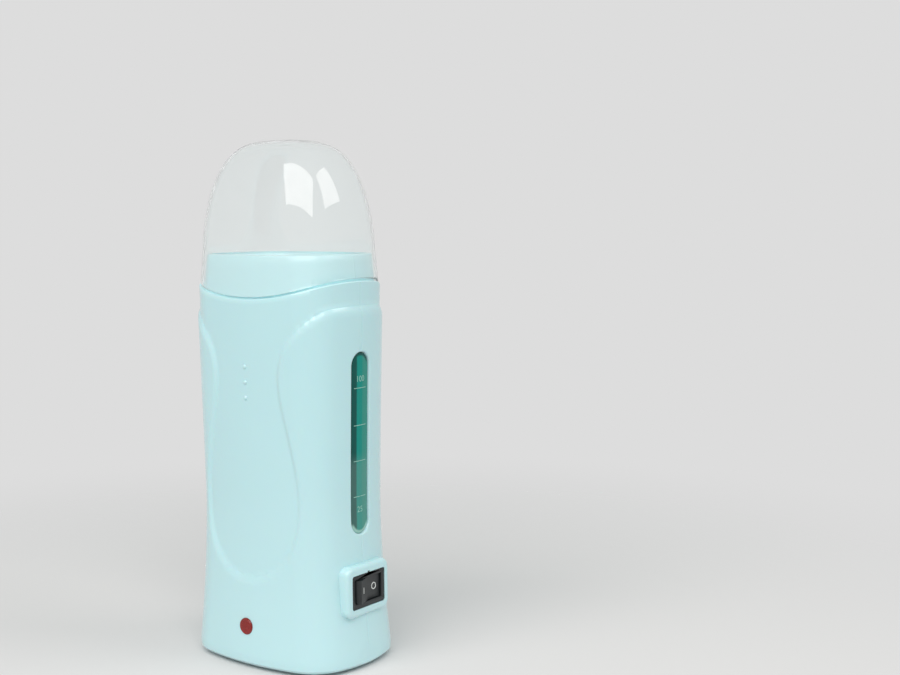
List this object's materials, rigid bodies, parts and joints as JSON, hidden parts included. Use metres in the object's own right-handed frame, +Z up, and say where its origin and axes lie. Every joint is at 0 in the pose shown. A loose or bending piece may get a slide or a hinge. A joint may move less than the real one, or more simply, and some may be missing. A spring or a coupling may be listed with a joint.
{
  "type": "roll-on wax heater",
  "caption": "Hand-held roll-on wax heater: waisted mint body, lift-off clear dome cap over a heated cartridge well, side wax windows and a rocker switch.",
  "frame": {"origin": "middle of the footprint, on the surface the feet rest on", "axes": "+Z up the body towards the dome cap, -Y towards the front with the raised dots, +X towards the side with the switch"},
  "size_m": [0.073, 0.0536, 0.19],
  "materials": {
    "mint_shell": "satin mint ABS",
    "clear_cap": "clear polished styrene",
    "green_window": "clear green, polished",
    "aluminium": "drawn, satin",
    "white_nylon": "matt",
    "amber_film": "smooth film",
    "steel": "zinc plated",
    "black_plastic": "fine matt",
    "brass": "plated",
    "red_lens": "clear red, polished",
    "board": "solder mask",
    "resistor_body": "lacquer",
    "rubber": "matt"
  },
  "bodies": {
    "housing": {"front_shell": "mint_shell", "back_shell": "mint_shell", "top_ring": "mint_shell", "heating_well": "aluminium", "well_cradle": "white_nylon", "window_right": "green_window", "window_left": "green_window", "heater_spreader_front": "aluminium", "heater_element_front": "amber_film", "heater_spreader_back": "aluminium", "heater_element_back": "amber_film", "heater_band_lower": "steel", "heater_band_upper": "steel", "thermostat": "black_plastic", "thermal_fuse": "steel", "switch_housing": "black_plastic", "switch_terminals": "brass", "inlet_housing": "black_plastic", "inlet_pins": "brass", "indicator_lens": "red_lens", "indicator_led": "red_lens", "control_board": "board", "resistor": "resistor_body", "base_plate": "mint_shell", "foot_1": "rubber", "foot_2": "rubber", "foot_3": "rubber", "foot_4": "rubber", "base_screws": "steel", "shell_screws": "steel"},
    "cap": {"cap": "clear_cap"},
    "rocker": {"switch_rocker": "black_plastic"}
  },
  "joints": [
    {"name": "cap_lift", "type": "slide", "parent": "housing", "child": "cap", "axis": [0, 0, 1], "range_m": [0, 0.06]},
    {"name": "power_switch", "type": "hinge", "parent": "housing", "child": "rocker", "pos_m": [0.03322, 0, 0.029], "axis": [0, 0, -1], "range_deg": [0, 20]}
  ]
}
